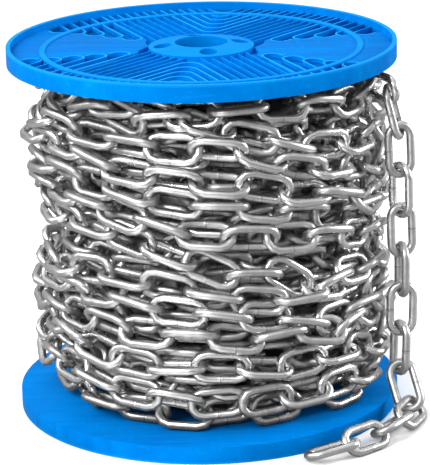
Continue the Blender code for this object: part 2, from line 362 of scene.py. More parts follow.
class Tree:
    """A node tree being wired up, left to right."""

    def __init__(self, tree):
        self.tree = tree
        self.column = 0

    def add(self, kind, inputs=None, **values):
        """Add a node, set its values and feed its inputs."""
        node = self.tree.nodes.new(kind)
        node.location = (self.column * 190, -(len(self.tree.nodes) % 5) * 180)
        self.column += 1
        for name, value in values.items():
            setattr(node, name, value)
        self.feed(node, inputs or {})
        return node

    def feed(self, node, inputs):
        """Give each named input a value, or a link from another node's socket."""
        for name, source in inputs.items():
            if isinstance(source, bpy.types.NodeSocket):
                self.tree.links.new(source, node.inputs[name])
            else:
                node.inputs[name].default_value = source

    def math(self, operation, first, second=0.0):
        """A Math node's value."""
        return self.add("ShaderNodeMath", {0: first, 1: second}, operation=operation).outputs[0]

    def times(self, first, second):
        """A product."""
        return self.math("MULTIPLY", first, second)

    def plus(self, first, second):
        """A sum."""
        return self.math("ADD", first, second)

    def remap(self, value, low, high, to_low=0.0, to_high=1.0):
        """A clamped Map Range from low..high to to_low..to_high."""
        return self.add("ShaderNodeMapRange", {"Value": value, "From Min": low, "From Max": high,
                                               "To Min": to_low, "To Max": to_high}).outputs["Result"]

    def noise(self, place, scale, detail=3.0, roughness=0.5):
        """A noise texture's value."""
        return self.add("ShaderNodeTexNoise", {"Vector": place, "Scale": scale, "Detail": detail,
                                               "Roughness": roughness}).outputs["Fac"]

    def stretched(self, place, scale, turn=(0.0, 0.0, 0.0)):
        """The place scaled and turned, for a pattern longer one way than the other."""
        return self.add("ShaderNodeMapping", {"Vector": place, "Scale": scale,
                                              "Rotation": turn}).outputs["Vector"]

    def mix(self, factor, first, second):
        """A mix of two colours."""
        return self.add("ShaderNodeMix", {"Factor": factor, "A": first, "B": second},
                        data_type="RGBA").outputs["Result"]


def wear_group():
    """Shared fine wear: soft blotches and fine scratches that change over a surface."""
    group = bpy.data.node_groups.new("Surface wear", "ShaderNodeTree")
    for name, way, kind in (
            ("Place", "INPUT", "NodeSocketVector"), ("Blotch scale", "INPUT", "NodeSocketFloat"),
            ("Scratch scale", "INPUT", "NodeSocketFloat"), ("Blotch", "OUTPUT", "NodeSocketFloat"),
            ("Scratch", "OUTPUT", "NodeSocketFloat")):
        group.interface.new_socket(name=name, in_out=way, socket_type=kind)
    tree = Tree(group)
    source = tree.add("NodeGroupInput").outputs
    place, scratch_scale = source["Place"], source["Scratch scale"]
    along = tree.stretched(place, (0.12, 1.0, 1.0), (0.3, 0.2, 0.5))
    across = tree.stretched(place, (1.0, 0.12, 1.0), (0.1, 0.4, 1.2))
    first = tree.remap(tree.noise(along, scratch_scale, 2.0, 0.6), 0.60, 0.72)
    second = tree.remap(tree.noise(across, scratch_scale, 2.0, 0.6), 0.62, 0.74)
    tree.add("NodeGroupOutput", {"Blotch": tree.noise(place, source["Blotch scale"], 4.0, 0.55),
                                 "Scratch": tree.math("MAXIMUM", first, second)})
    return group


def new_material(name):
    """A new material with its node tree and its shader."""
    made = bpy.data.materials.new(name)
    made.use_nodes = True
    return Tree(made.node_tree), made.node_tree.nodes["Principled BSDF"]


def plastic_material(settings, wear):
    """Moulded blue plastic: nearly matt, with a faint orange peel, flow streaks, scuff marks, worn edges
    lightened also as a painted highlight, and painted shade in the recesses.
    """
    tree, shader = new_material("moulded_blue_plastic")
    place = tree.add("ShaderNodeTexCoord").outputs["Object"]
    worn = tree.add("ShaderNodeGroup", {"Place": place, "Blotch scale": 22.0, "Scratch scale": 260.0},
                    node_tree=wear).outputs
    streak = tree.noise(tree.stretched(place, (14.0, 120.0, 40.0), (0, 0, math.radians(-10))), 1.0, 3.0, 0.6)
    flow = tree.plus(tree.times(streak, 0.6), tree.times(worn["Blotch"], 0.4))
    _, green, blue, _ = settings.colour
    moulded = tree.mix(tree.remap(flow, 0.35, 0.65), (0.0, green * 0.82, blue * 0.86, 1.0),
                       (0.0, green * 1.12, min(1.0, blue * 1.08), 1.0))
    wear_and_light_mark = tree.add("ShaderNodeAttribute", attribute_name="top_wear").outputs["Fac"]
    # Painted shade: the fans' floors and the foot of their walls are painted darker, and the plate's face a
    # little darker.
    sunk = tree.mix(tree.times(tree.remap(wear_and_light_mark, -0.1, -0.9), 0.90), moulded,
                    (0.0, green * 0.40, blue * 0.48, 1.0))
    # Proud top faces, the ring, the hub and the rim's edge painted lighter: partly worn plastic, partly
    # painted highlight.
    rubbed_and_highlit = tree.times(tree.remap(wear_and_light_mark, 0.75, 1.0), 0.60)
    scuffs_and_highlights = tree.math("MAXIMUM", rubbed_and_highlit, tree.times(worn["Scratch"], 0.15))
    scuffed_and_highlit = tree.mix(scuffs_and_highlights, sunk, (0.012, 0.36, 0.90, 1.0))
    # The steel's reflections show the reel grey, as in the photo
    glossy = tree.add("ShaderNodeLightPath").outputs["Is Glossy Ray"]
    peel = tree.noise(place, 420.0, 2.0)
    height = tree.plus(tree.times(peel, 0.5), tree.times(worn["Scratch"], -0.4))
    bump = tree.add("ShaderNodeBump", {"Height": height, "Strength": 0.25, "Distance": 0.0002})
    tree.feed(shader, {
        "Base Color": tree.mix(glossy, scuffed_and_highlit, (0.10, 0.11, 0.12, 1.0)),
        "Roughness": tree.remap(worn["Blotch"], 0.3, 0.7, settings.roughness - 0.05,
                                settings.roughness + 0.08),
        "Normal": bump.outputs["Normal"],
        "IOR": 1.49,
        "Specular IOR Level": 0.006,
        "Specular Tint": (0.10, 0.60, 1.0, 1.0),
    })


def link_curve(settings):
    """A link's middle line: the radius of its bends and how far out their centres lie."""
    bend = (settings.width - settings.wire) / 2
    return bend, (settings.pitch + settings.wire) / 2 - bend


def drawn_lines(tree, settings, along, across, up):
    """Fine lines that run along the wire and follow it round the link's crowns."""
    bend, reach = link_curve(settings)
    beyond = tree.math("MAXIMUM", tree.math("SUBTRACT", tree.math("ABSOLUTE", along), reach), 0.0)
    squares = tree.plus(tree.times(beyond, beyond), tree.times(across, across))
    outward = tree.math("SUBTRACT", tree.math("SQRT", squares), bend)
    section = tree.add("ShaderNodeCombineXYZ", {"X": along, "Y": outward, "Z": up}).outputs["Vector"]
    return tree.noise(tree.stretched(section, (40.0, 800.0, 800.0)), 1.0, 2.0)


def steel_material(name, settings, roughness, wear, depth):
    """Bright drawn steel wire, with a weld ring on each link, tumbling marks and grime in the dull places; a
    depth below 1 paints the whole colour darker, as painted shade.
    """
    tree, shader = new_material(name)
    place = tree.add("ShaderNodeAttribute", attribute_name="link_place").outputs["Vector"]
    tone = tree.add("ShaderNodeAttribute", attribute_name="link_tone").outputs["Fac"]
    shifted = tree.add("ShaderNodeVectorMath", {0: place, 1: tree.times(tone, 3.0)},
                       operation="ADD").outputs["Vector"]
    worn = tree.add("ShaderNodeGroup", {"Place": shifted, "Blotch scale": 160.0, "Scratch scale": 900.0},
                    node_tree=wear).outputs
    parts = tree.add("ShaderNodeSeparateXYZ", {"Vector": place}).outputs
    on_side = tree.math("LESS_THAN", parts["Y"], 0.0)
    from_weld = tree.math("ABSOLUTE", parts["X"])
    ridge = tree.times(tree.remap(from_weld, 0.0015, 0.0007), on_side)
    seam = tree.times(tree.remap(from_weld, 0.00055, 0.00025), on_side)
    dull = tree.plus(tree.times(worn["Blotch"], 0.7), tree.times(tone, 0.3))
    # Painted shade: the colour is scaled by depth, darker for the copy on the hidden layers.
    bright, dark = [(*[channel * depth * share for channel in settings.colour[:3]], 1.0)
                    for share in (1.0, 0.62)]
    base = tree.mix(tree.remap(dull, 0.40, 0.75), bright, dark)
    drawn = drawn_lines(tree, settings, parts["X"], parts["Y"], parts["Z"])
    weld = tree.plus(tree.times(ridge, 0.9), tree.times(seam, -0.5))
    height = tree.plus(tree.times(drawn, 0.20), weld)
    height = tree.plus(height, tree.times(worn["Scratch"], -0.10))
    bump = tree.add("ShaderNodeBump", {"Height": height, "Strength": 0.35, "Distance": 0.0004})
    tree.feed(shader, {
        "Metallic": 1.0,
        "Base Color": tree.mix(tree.times(seam, 0.5), base, (0.10, 0.10, 0.10, 1.0)),
        "Roughness": tree.remap(dull, 0.35, 0.75, roughness - 0.05, roughness + 0.16),
        "Normal": bump.outputs["Normal"],
    })


def floor_material(settings):
    """A plain pale floor, which the chain reflects as pale only in front of the reel."""
    tree, shader = new_material("pale_floor")
    seen = tree.add("ShaderNodeLightPath").outputs["Is Camera Ray"]
    place = tree.add("ShaderNodeTexCoord").outputs["Object"]
    parts = tree.add("ShaderNodeSeparateXYZ", {"Vector": place}).outputs
    slant = tree.math("DIVIDE", parts["X"], parts["Y"])
    from_middle = tree.math("ABSOLUTE", tree.math("SUBTRACT", slant, 0.35))
    in_front = tree.math("LESS_THAN", parts["Y"], 0.0)
    pale = tree.times(tree.remap(from_middle, 0.60, 0.20), in_front)
    reflected = tree.mix(pale, settings.floor_shade, settings.floor_colour)
    tree.feed(shader, {"Roughness": 0.75, "Base Color": tree.mix(seen, reflected, settings.floor_colour)})
    return bpy.data.materials["pale_floor"]


def finishes(scene):
    """The object's materials, made once and kept by name."""
    if "moulded_blue_plastic" not in bpy.data.materials:
        wear, chain = wear_group(), scene.chain_looks
        plastic_material(scene.reel_looks, wear)
        steel_material("bright_steel_wire", chain, chain.roughness, wear, 1.0)
        # The hidden layers and the core get a copy painted a little darker, as painted shade, and a little
        # rougher.
        steel_material("shaded_steel_wire", chain, chain.roughness + 0.04, wear, 0.95)
    return bpy.data.materials


# The flanges


def flange_section(radius):
    """The upper flange's section as (radius, height) points, with its recessed side up."""
    base = REEL_HEIGHT - FLANGE_HEIGHT
    return [
        (BORE_RADIUS, base), (radius, base), (radius, REEL_HEIGHT), (radius - RIM_WALL, REEL_HEIGHT),
        (radius - RIM_WALL, WEB_FACE), (HUB_RADIUS, WEB_FACE), (HUB_RADIUS, REEL_HEIGHT - HUB_EDGE_DROP),
        (BORE_RADIUS, REEL_HEIGHT - HUB_MOUTH_DROP),
    ]


def cut_away(piece, cutter):
    """Cut one piece's shape out of another and remove the cutter."""
    cut = piece.modifiers.new("cut", "BOOLEAN")
    cut.operation = "DIFFERENCE"
    cut.solver = "EXACT"
    cut.object = cutter
    apply_modifiers(piece)
    bpy.data.objects.remove(cutter, do_unlink=True)


def drill_drive_holes(piece):
    """Cut the drive holes right through a flange."""
    for hole in range(DRIVE_HOLE_COUNT):
        angle = DRIVE_HOLE_ANGLE + math.tau * hole / DRIVE_HOLE_COUNT
        x, y = DRIVE_HOLE_CIRCLE * math.cos(angle), DRIVE_HOLE_CIRCLE * math.sin(angle)
        deselect()
        bpy.ops.mesh.primitive_cylinder_add(vertices=32, radius=DRIVE_HOLE_RADIUS, depth=4 * FLANGE_HEIGHT,
                                            location=(x, y, REEL_HEIGHT - FLANGE_HEIGHT / 2))
        cut_away(piece, bpy.context.active_object)


def slot_cutter(start, heading, width):
    """A round-ended bar: an upright cylinder with one half pulled out along the slot."""
    deselect()
    bpy.ops.mesh.primitive_cylinder_add(vertices=18, radius=width / 2, depth=CUT_DEPTH, location=(0, 0, 0))
    piece = bpy.context.active_object
    bpy.ops.object.mode_set(mode="EDIT")
    bpy.ops.mesh.select_all(action="DESELECT")
    bpy.ops.object.mode_set(mode="OBJECT")
    for vertex in piece.data.vertices:
        vertex.select = vertex.co.x > 0
    bpy.ops.object.mode_set(mode="EDIT")
    bpy.ops.transform.translate(value=(CUT_LENGTH, 0, 0))
    bpy.ops.object.mode_set(mode="OBJECT")
    piece.location = (start.x, start.y, WEB_FACE + CUT_RAISE)
    piece.rotation_euler = (0, 0, heading)
    settle_in_place(piece)
    return piece


def rim_distance(offset, radius):
    """How far along a rib at that offset the circle of a radius is reached."""
    return math.sqrt(max(radius * radius - offset * offset, 0.0))


def pointing(angle):
    """The direction at an angle from the X axis."""
    return Vector((math.cos(angle), math.sin(angle), 0.0))


def leftward(ahead):
    """The direction a quarter turn to the left."""
    return Vector((-ahead.y, ahead.x, 0.0))


def draw_rib(start, heading, moves):
    """Extrude and spin a small upright rectangle along a rib's straight runs and bends."""
    height = PLATE_FACE + RIB_PROUD - WEB_FACE + RIB_ROOT
    middle = WEB_FACE - RIB_ROOT + height / 2
    deselect()
    bpy.ops.mesh.primitive_plane_add(size=1.0, location=(start.x, start.y, middle),
                                     rotation=(math.pi / 2, 0, heading + math.pi / 2))
    piece = bpy.context.active_object
    piece.scale = (RIB_WIDTH, height, 1.0)
    settle_in_place(piece)
    edit_all()
    place = start.copy()
    for amount, bend in moves:
        ahead = pointing(heading)
        if bend == 0:
            bpy.ops.mesh.extrude_region_move(TRANSFORM_OT_translate={"value": ahead * amount})
            place += ahead * amount
        else:
            centre = place + leftward(ahead) * math.copysign(1.0, amount) * bend
            steps = max(3, int(abs(amount) / math.radians(15)))
            bpy.ops.mesh.spin(steps=steps, angle=-amount, center=(centre.x, centre.y, middle), axis=(0, 0, 1))
            place = centre + Matrix.Rotation(amount, 3, "Z") @ (place - centre)
            heading += amount
    bpy.ops.object.mode_set(mode="OBJECT")
    clean_mesh(piece)
    return piece


def fan_place(axis, side, offset, along):
    """A point of a fan: so far along the ribs' direction on one side, and so far off it towards the wedge."""
    ahead = pointing(axis + side * FAN_HALF_ANGLE)
    return ahead * along + leftward(ahead) * side * offset


def hook_offsets():
    """How far each hooked rib lies off the hub's middle, with where it starts."""
    return [(FIRST_HOOK + HOOK_SPACING * number, start) for number, start in enumerate(HOOK_STARTS)]


def cut_fan(plate, axis):
    """Sink a fan into the plate: a broad slot on each side of its axis and a round-ended one at each hook."""
    middle = fan_place(axis - FAN_HALF_ANGLE, 1, 0.0, FAN_CUT_START)
    cut_away(plate, slot_cutter(middle, axis, FAN_CUT_WIDTH))
    for side in (1, -1):
        heading = axis + side * FAN_HALF_ANGLE
        start = fan_place(axis, side, FIRST_HOOK - SIDE_CUT_WIDTH / 2, SIDE_CUT_START)
        cut_away(plate, slot_cutter(start, heading, SIDE_CUT_WIDTH))
        for offset, along in hook_offsets():
            start = fan_place(axis, side, offset + HOOK_CUT_WIDTH / 2, along + HOOK_CUT_WIDTH / 2)
            cut_away(plate, slot_cutter(start, heading, HOOK_CUT_WIDTH))


def fan_ribs(axis):
    """All the thin ribs of a fan: arches on its axis, ribs from the hub and hooked ribs."""
    ribs = []
    for step in ARCH_STEPS:
        offset = RIB_SPACING * step
        corner = -offset / math.sin(FAN_HALF_ANGLE)
        outer = rim_distance(offset, RIB_REACH)
        inner = corner * math.cos(FAN_HALF_ANGLE) + ARCH_RADIUS / math.tan(FAN_HALF_ANGLE)
        if inner < outer:
            start = fan_place(axis, 1, offset, outer)
            run = (outer - inner, 0.0)
            ribs.append(draw_rib(start, axis + FAN_HALF_ANGLE + math.pi,
                                 [run, (math.pi - 2 * FAN_HALF_ANGLE, ARCH_RADIUS), run]))
    for side in (1, -1):
        heading = axis + side * FAN_HALF_ANGLE
        for step in HUB_RIB_STEPS:
            offset = RIB_SPACING * step
            inner = rim_distance(offset, HUB_RADIUS)
            start = fan_place(axis, side, offset, inner)
            ribs.append(draw_rib(start, heading, [(rim_distance(offset, RIB_REACH) - inner, 0.0)]))
        for offset, inner in hook_offsets():
            outer = rim_distance(offset, RIB_REACH)
            moves = [(outer - inner - HOOK_BEND, 0.0), (-side * HOOK_SWEEP, HOOK_BEND), (HOOK_TAIL, 0.0)]
            ribs.append(draw_rib(fan_place(axis, side, offset, outer), heading + math.pi, moves))
    return ribs


def wear_and_light_at(point):
    """How much lighter or darker the flange is painted at a point: 1 where it stands proud (wear and painted
    highlight), down to -1 on a fan's floor (painted shade).
    """
    radius = math.hypot(point.x, point.y)
    if radius < HUB_RADIUS + OVERLAP:
        return HUB_WEAR_AND_HIGHLIGHT if point.z > REEL_HEIGHT - HUB_EDGE_DROP - WEAR_MARGIN else 0.0
    if point.z > REEL_HEIGHT - WEAR_MARGIN:
        return RIM_EDGE_WEAR_AND_HIGHLIGHT
    proud = PLATE_FACE + 0.00005 < point.z < REEL_HEIGHT - RING_RIB_DROP + 0.0001
    rounded = PLATE_FACE - ROUNDED_DEPTH < point.z < PLATE_FACE - FACE_MARGIN
    if radius < RIB_REACH + 0.0002 and (proud or rounded):
        return RING_WEAR_AND_HIGHLIGHT if abs(radius - RING_RIB_RADIUS) < RING_RIB_WIDTH and proud else RIB_WEAR_AND_HIGHLIGHT
    if abs(point.z - PLATE_FACE) <= FACE_MARGIN:
        return PLATE_DARKENING
    return FAN_FLOOR_SHADE if abs(point.z - WEB_FACE) < WEAR_MARGIN else 0.0


def mark_wear_and_light(piece):
    """Keep how much each point is painted lighter (wear and painted highlight) or darker (painted shade), for
    the plastic's colour.
    """
    mark = piece.data.attributes.new("top_wear", "FLOAT", "POINT")
    mark.data.foreach_set("value", [wear_and_light_at(vertex.co) for vertex in piece.data.vertices])


class OBJECT_OT_reel_flanges(bpy.types.Operator):
    """Model the two moulded flanges with their ribs, hub and drive holes"""

    bl_idname = "object.reel_flanges"
    bl_label = "Reel Flanges"

    def execute(self, context):
        settings = context.scene.reel_looks
        disc = turned_piece("top_flange_moulding", flange_section(settings.flange_radius), FLANGE_SIDES)
        drill_drive_holes(disc)
        sunk = WEB_FACE - OVERLAP
        plate = turned_band("plate", HUB_RADIUS - OVERLAP, settings.flange_radius - RIM_WALL + RIM_OVERLAP,
                            sunk, PLATE_FACE)
        for axis in FAN_AXES:
            cut_fan(plate, axis)
        ring = turned_band("ring_rib", RING_RIB_RADIUS - RING_RIB_WIDTH / 2,
                           RING_RIB_RADIUS + RING_RIB_WIDTH / 2, sunk, REEL_HEIGHT - RING_RIB_DROP)
        for piece in (disc, ring, plate):
            rounding = piece.modifiers.new("rounding", "BEVEL")
            rounding.width = settings.rim_rounding
            rounding.segments = 3
            rounding.limit_method = "ANGLE"
            rounding.angle_limit = math.radians(35)
            apply_modifiers(piece)
        ribs = [rib for axis in FAN_AXES for rib in fan_ribs(axis)]
        top = join([disc, plate, ring] + ribs, "top_flange_moulding")
        settle_in_place(top)
        mark_wear_and_light(top)
        activate(top)
        bpy.ops.object.shade_smooth_by_angle(angle=math.radians(40))
        bpy.ops.object.duplicate()
        bottom = bpy.context.active_object
        bottom.name = bottom.data.name = "bottom_flange_moulding"
        bottom.scale.z = -1.0
        bottom.location.z = REEL_HEIGHT
        settle_in_place(bottom)
        clean_mesh(bottom, merge=False)
        plastic = finishes(context.scene)["moulded_blue_plastic"]
        for piece, node in ((top, "top_flange"), (bottom, "bottom_flange")):
            dress(piece, plastic)
            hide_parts(node)
        cover(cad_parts["barrel"], plastic)
        return {"FINISHED"}


# The chain


def model_link(name, settings, sides, crown_steps, straight_cuts=0, share=1.0):
    """Model one link: the wire's end spun round a crown, drawn out, spun round the other and drawn back."""
    bend, reach = [size * share for size in link_curve(settings)]
    deselect()
    bpy.ops.mesh.primitive_circle_add(vertices=sides, radius=settings.wire / 2 * share,
                                      location=(reach, bend, 0), rotation=(0, math.pi / 2, 0))
    piece = bpy.context.active_object
    piece.name = name
    edit_all()
    for end in (1, -1):
        bpy.ops.mesh.spin(steps=crown_steps, angle=math.pi, center=(end * reach, 0, 0), axis=(0, 0, 1))
        for _ in range(straight_cuts + 1):
            run = -end * 2 * reach / (straight_cuts + 1)
            bpy.ops.mesh.extrude_region_move(TRANSFORM_OT_translate={"value": (run, 0, 0)})
    bpy.ops.object.mode_set(mode="OBJECT")
    settle_in_place(piece)
    clean_mesh(piece)
    return piece


def placed_links(name, piece, poses, tones):
    """Copies of a modelled link laid at their poses, as one mesh that knows each link's place and tone."""
    points = np.array([vertex.co for vertex in piece.data.vertices])
    faces = np.array([polygon.vertices for polygon in piece.data.polygons])
    count = len(poses)
    placed = np.concatenate([points @ turn.T + centre for centre, turn in poses])
    shifted = np.concatenate([faces + index * len(points) for index in range(count)])
    mesh = bpy.data.meshes.new(name)
    mesh.from_pydata(placed.tolist(), [], shifted.tolist())
    mesh.shade_smooth()
    place = mesh.attributes.new("link_place", "FLOAT_VECTOR", "POINT")
    place.data.foreach_set("vector", np.tile(points, (count, 1)).ravel())
    tone = mesh.attributes.new("link_tone", "FLOAT", "POINT")
    tone.data.foreach_set("value", np.repeat(tones, len(points)))
    made = bpy.data.objects.new(name, mesh)
    bpy.context.scene.collection.objects.link(made)
    return made


def wire_points(settings, count):
    """Evenly spaced points along a link's middle line: length along X, width along Y."""
    bend, reach = link_curve(settings)
    arc, straight = math.pi * bend, 2 * reach
    points = []
    for index in range(count):
        along = (index + 0.5) / count * 2 * (arc + straight)
        side = 1 if along < arc + straight else -1
        along -= 0 if side == 1 else arc + straight
        if along < arc:
            angle = math.pi / 2 - along / bend
            points.append((side * (reach + bend * math.cos(angle)), side * bend * math.sin(angle), 0.0))
        else:
            points.append((side * (reach - (along - arc)), -side * bend, 0.0))
    return np.array(points)


def wander(random, count, wave):
    """A smooth irregular curve of samples between -1 and 1."""
    knots = random.uniform(-1, 1, int(count / wave) + 4)
    place = np.arange(count) / wave
    whole = place.astype(int)
    part = place - whole
    part = part * part * (3 - 2 * part)
    return knots[whole] * (1 - part) + knots[whole + 1] * part


def helix(settings, random, low, high):
    """A layer that nobody sees the front of: an even helix that strays, as turned angle and height."""
    count = int(settings.turns * math.tau / ROUTE_STEP)
    turned = np.arange(count) * ROUTE_STEP
    rise = (high - low) / settings.turns
    wave = wander(random, count, SHORT_WAVE / ROUTE_STEP) + wander(random, count, LONG_WAVE / ROUTE_STEP)
    even = low + rise / 2 + (high - low - rise) * turned / (settings.turns * math.tau)
    return random.uniform(0, math.tau) - turned, even + settings.wander * wave


def traced_helix(settings, random):
    """The outermost layer: through each course's joints across the front, and straying round the back."""
    angles, heights = [WINDING_START[0]], [WINDING_START[1]]
    for turn, (_, joints) in enumerate(FRONT_COURSES):
        for degrees, height in reversed(joints):
            angles.append(math.radians(degrees) - math.tau * turn)
            heights.append(height / 1000)
    angles.append(WINDING_END[0] - math.tau * len(FRONT_COURSES))
    heights.append(WINDING_END[1])
    turned = np.arange(angles[0], angles[-1], -ROUTE_STEP)
    height = np.interp(-turned, -np.array(angles), heights)
    stray = np.interp((turned + math.pi / 2 + math.pi) % math.tau, *STRAY_SHARE)
    return turned, height + settings.wander * stray * wander(random, len(turned), OUTER_WAVE / ROUTE_STEP)


def front_runs(settings, angle, along):
    """Where each course's links begin and end along the route, and how each lies, from the low end."""
    runs = []
    for turn, (lies, joints) in enumerate(FRONT_COURSES):
        first, last = [np.interp(-math.radians(joint[0]) + math.tau * turn, -angle, along)
                       for joint in (joints[-1], joints[0])]
        half = len(lies) * settings.pitch * JOINT_SHARE / 2
        middle = (first + last) / 2
        runs.append((middle - half, middle + half, [LINK_ROLLS[lie] for lie in reversed(lies)]))
    return runs


def stations(settings, runs, end):
    """Joints along the route and each link's roll: the runs as traced, and even spacing between them."""
    joints, rolls = [0.0], []
    for first, last, lies in runs + [(end, end, [])]:
        gap = first - joints[-1]
        count = max(0, math.ceil(gap / (settings.pitch * JOINT_SHARE)))
        joints.extend(joints[-1] + gap * (np.arange(count) + 1) / max(count, 1))
        rolls.extend([None] * count)
        joints.extend(first + (last - first) * (np.arange(len(lies)) + 1) / max(len(lies), 1))
        rolls.extend(lies)
    return np.array(joints), rolls


def full_rolls(random, rolls):
    """Each link's roll: as traced, or a quarter turn on from the one before with some irregularity."""
    links = len(rolls)
    parity = np.arange(links) % 2 * math.pi / 2
    free = math.pi / 4 + parity + ROLL_WANDER * wander(random, links, ROLL_WANDER_LINKS)
    free = free + random.uniform(-ROLL_STRAY, ROLL_STRAY, links)
    stray = random.uniform(-TRACED_ROLL_STRAY, TRACED_ROLL_STRAY, links)
    known = np.array([roll is not None for roll in rolls])
    traced = np.array([roll or 0.0 for roll in rolls])
    traced = np.where(np.isclose(traced, math.pi / 4), math.pi / 4 + parity, traced)
    return np.where(known, traced + stray, free)


def unit(vectors):
    """Each vector at length 1."""
    return vectors / np.linalg.norm(vectors, axis=1)[:, None]


def laid_layer(settings, random, depth):
    """The first poses of one layer: a winding helix of links turned by quarters, not yet settled."""
    low, high = WINDING_LOW, WINDING_HIGH
    outermost = depth == 0.0
    angle, height = traced_helix(settings, random) if outermost else helix(settings, random, low, high)
    height = np.clip(height, low + ROUTE_MARGIN, high - ROUTE_MARGIN)
    bands = low + (np.arange(len(WINDING_PROFILE)) + 0.5) * (high - low) / len(WINDING_PROFILE)
    radius = np.interp(height, bands, WINDING_PROFILE) - ROUTE_INSET - depth
    radius += RADIUS_STRAY * wander(random, len(angle), RADIUS_STRAY_STEPS) + WINDING_LEAN * np.cos(angle)
    for place, level, proud, wide, tall in PROUD_PLACES:
        aside = (angle - place + math.pi) % math.tau - math.pi
        radius += proud * np.exp(-(aside / wide) ** 2 - ((height - level) / tall) ** 2)
    route = np.stack([radius * np.cos(angle), radius * np.sin(angle), height], axis=1)
    along = np.concatenate([[0.0], np.cumsum(np.linalg.norm(np.diff(route, axis=0), axis=1))])
    runs = front_runs(settings, angle, along) if outermost else []
    joints, rolls = stations(settings, runs, along[-1])
    ends = np.stack([np.interp(joints, along, route[:, axis]) for axis in range(3)], axis=1)
    centre = (ends[1:] + ends[:-1]) / 2
    ahead = unit(ends[1:] - ends[:-1])
    side = unit(np.cross(ahead, unit(centre * (1, 1, 0))))
    out = np.cross(side, ahead)
    roll = full_rolls(random, rolls)
    width = np.cos(roll)[:, None] * side + np.sin(roll)[:, None] * out
    return centre, np.stack([ahead, width, np.cross(ahead, width)], axis=2)


def near_pairs(points, owner, reach):
    """Every pair of points of different links within reach of each other, found in a grid of cells."""
    grid = np.floor(points / reach).astype(np.int64)
    grid -= grid.min(axis=0) - 1
    size = grid.max(axis=0) + 3
    key = (grid[:, 0] * size[1] + grid[:, 1]) * size[2] + grid[:, 2]
    order = np.argsort(key, kind="stable")
    sorted_key = key[order]
    count = len(points)
    firsts, seconds = [], []
    cells = [(x, y, z) for x in (0, 1) for y in (-1, 0, 1) for z in (-1, 0, 1)]
    for x, y, z in [cell for cell in cells if cell >= (0, 0, 0)]:
        shift = (x * size[1] + y) * size[2] + z
        low = np.searchsorted(sorted_key, sorted_key + shift, "left")
        high = np.searchsorted(sorted_key, sorted_key + shift, "right")
        if shift == 0:
            low = np.arange(count) + 1
        number = np.maximum(high - low, 0)
        first = np.repeat(np.arange(count), number)
        start = np.cumsum(number) - number
        second = np.arange(number.sum()) - np.repeat(start, number) + np.repeat(low, number)
        firsts.append(order[first])
        seconds.append(order[second])
    first, second = np.concatenate(firsts), np.concatenate(seconds)
    close = owner[first] != owner[second]
    first, second = first[close], second[close]
    close = ((points[first] - points[second]) ** 2).sum(axis=1) < reach * reach
    return first[close], second[close]


def wires_at(centre, turn, template):
    """The points that stand for the links at their poses."""
    return (np.einsum("nij,kj->nki", turn, template) + centre[:, None, :]).reshape(-1, 3)


def settled(settings, centre, turn, least_radius, fixed_centre, fixed_turn):
    """Ease every link clear of its neighbours, the flanges and the core, as rigid bodies."""
    template = wire_points(settings, POINTS_PER_LINK)
    size = len(template)
    loose, held = len(centre), len(fixed_centre)
    low = WINDING_LOW + settings.wire / 2
    high = WINDING_HIGH - settings.wire / 2
    owner = np.repeat(np.arange(loose + held), size)
    fixed = wires_at(fixed_centre, fixed_turn, template)
    least = np.repeat(least_radius, size)
    for round_number in range(settings.rounds):
        wires = wires_at(centre, turn, template)
        everything = np.concatenate([wires, fixed])
        if round_number % SEARCH_EVERY == 0:
            first, second = near_pairs(everything, owner, SEARCH_REACH * CHAIN_CLEARANCE)
        apart = everything[first] - everything[second]
        distance = np.sqrt((apart * apart).sum(axis=1))
        touching = distance < CHAIN_CLEARANCE
        a, b = first[touching], second[touching]
        gap = np.maximum(distance[touching], 1e-5)
        push = apart[touching] * ((CHAIN_CLEARANCE / gap - 1) / 2)[:, None]
        strength = np.linalg.norm(push, axis=1)
        push *= (np.minimum(strength, GREATEST_PUSH) / np.maximum(strength, 1e-9))[:, None]
        total = len(everything)
        hits = np.bincount(a, minlength=total) + np.bincount(b, minlength=total)
        move = np.stack([np.bincount(a, push[:, axis], total) - np.bincount(b, push[:, axis], total)
                         for axis in range(3)], axis=1)
        move /= np.sqrt(np.maximum(hits, 1))[:, None]
        goal = wires + move[:len(wires)]
        weight = REST_WEIGHT + (hits[:len(wires)] > 0)
        radius = np.hypot(goal[:, 0], goal[:, 1])
        goal[:, :2] *= np.maximum(1.0, least / radius)[:, None]
        weight += radius < least
        clipped = np.clip(goal[:, 2], low, high)
        weight += clipped != goal[:, 2]
        goal[:, 2] = clipped
        pull = INWARD_PULL * max(0.0, 1 - round_number / (settings.rounds * PULL_LASTS))
        goal[:, :2] -= goal[:, :2] / radius[:, None] * pull
        goal = goal.reshape(loose, size, 3)
        weight = weight.reshape(loose, size)
        total_weight = weight.sum(axis=1)[:, None]
        middle = (goal * weight[..., None]).sum(axis=1) / total_weight
        shape_middle = weight @ template / total_weight
        spread = np.einsum("nk,nki,nkj->nij", weight, goal - middle[:, None],
                           template[None] - shape_middle[:, None])
        u, _, vt = np.linalg.svd(spread + turn * TURN_WEIGHT)
        u[:, :, 2] *= np.sign(np.linalg.det(u @ vt))[:, None]
        turn = u @ vt
        centre = middle - np.einsum("nij,nj->ni", turn, shape_middle)
    return centre, turn


def tail_poses():
    """Where each hanging link lies in the CAD: its middle and its length, width and depth directions."""
    poses = []
    for name in TAIL_NODES:
        points = np.array([vertex.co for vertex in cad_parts[name].data.vertices])
        points = np.unique(points.round(6), axis=0)
        _, _, directions = np.linalg.svd(points - points.mean(axis=0), full_matrices=False)
        length, width = directions[0], directions[1]
        turn = np.column_stack([length, width, np.cross(length, width)])
        local = points @ turn
        poses.append((turn @ ((local.min(axis=0) + local.max(axis=0)) / 2), turn))
    return poses


